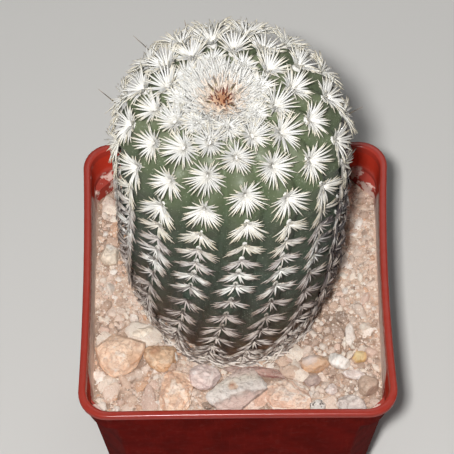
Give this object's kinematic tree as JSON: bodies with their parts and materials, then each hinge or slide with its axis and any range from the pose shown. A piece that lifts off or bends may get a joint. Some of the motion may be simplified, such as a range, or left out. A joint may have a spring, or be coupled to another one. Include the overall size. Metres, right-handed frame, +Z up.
{
  "type": "potted echinocereus",
  "caption": "Ribbed barrel cactus with comb-like white spine clusters and a woolly crown, in a square brick-red nursery pot of gritty soil with loose stones.",
  "frame": {"origin": "middle of the pot's underside, on the surface it stands on", "axes": "+Z up along the stem, -Y the side the plant is seen from, +X to the viewer's right"},
  "size_m": [0.089, 0.089, 0.1831],
  "materials": {
    "pot_plastic": "satin",
    "soil_grit": "matte",
    "cactus_skin": "satin",
    "spine": "satin",
    "wool": "matte",
    "tan_stone": "matte",
    "brown_stone": "matte",
    "pale_stone": "matte",
    "orange_stone": "matte",
    "quartz": "satin",
    "lilac_stone": "matte",
    "grey_stone": "matte",
    "red_stone": "matte",
    "pink_stone": "matte"
  },
  "bodies": {
    "root": {"pot": "pot_plastic", "soil": "soil_grit", "cactus": "cactus_skin", "chert_pebble": "tan_stone", "brown_pebble": "brown_stone", "pale_pebble": "pale_stone", "cream_pebble": "pale_stone", "orange_pebble": "orange_stone", "white_chip": "quartz", "tan_slab": "tan_stone", "lilac_pebble": "lilac_stone", "slate_slab": "grey_stone", "red_sliver": "red_stone", "pink_slab": "pink_stone", "spotted_pebble": "quartz", "orange_stone": "orange_stone", "mauve_stone": "lilac_stone", "quartz_chip": "quartz", "amber_pebble": "orange_stone", "flat_chip": "pink_stone", "round_stone": "brown_stone", "blush_pebble": "pink_stone", "grey_stone": "grey_stone", "back_tan_stone": "tan_stone", "back_grey_stone": "grey_stone", "back_pink_stone": "pink_stone", "back_pale_stone": "pale_stone", "back_red_stone": "red_stone"}
  },
  "joints": []
}
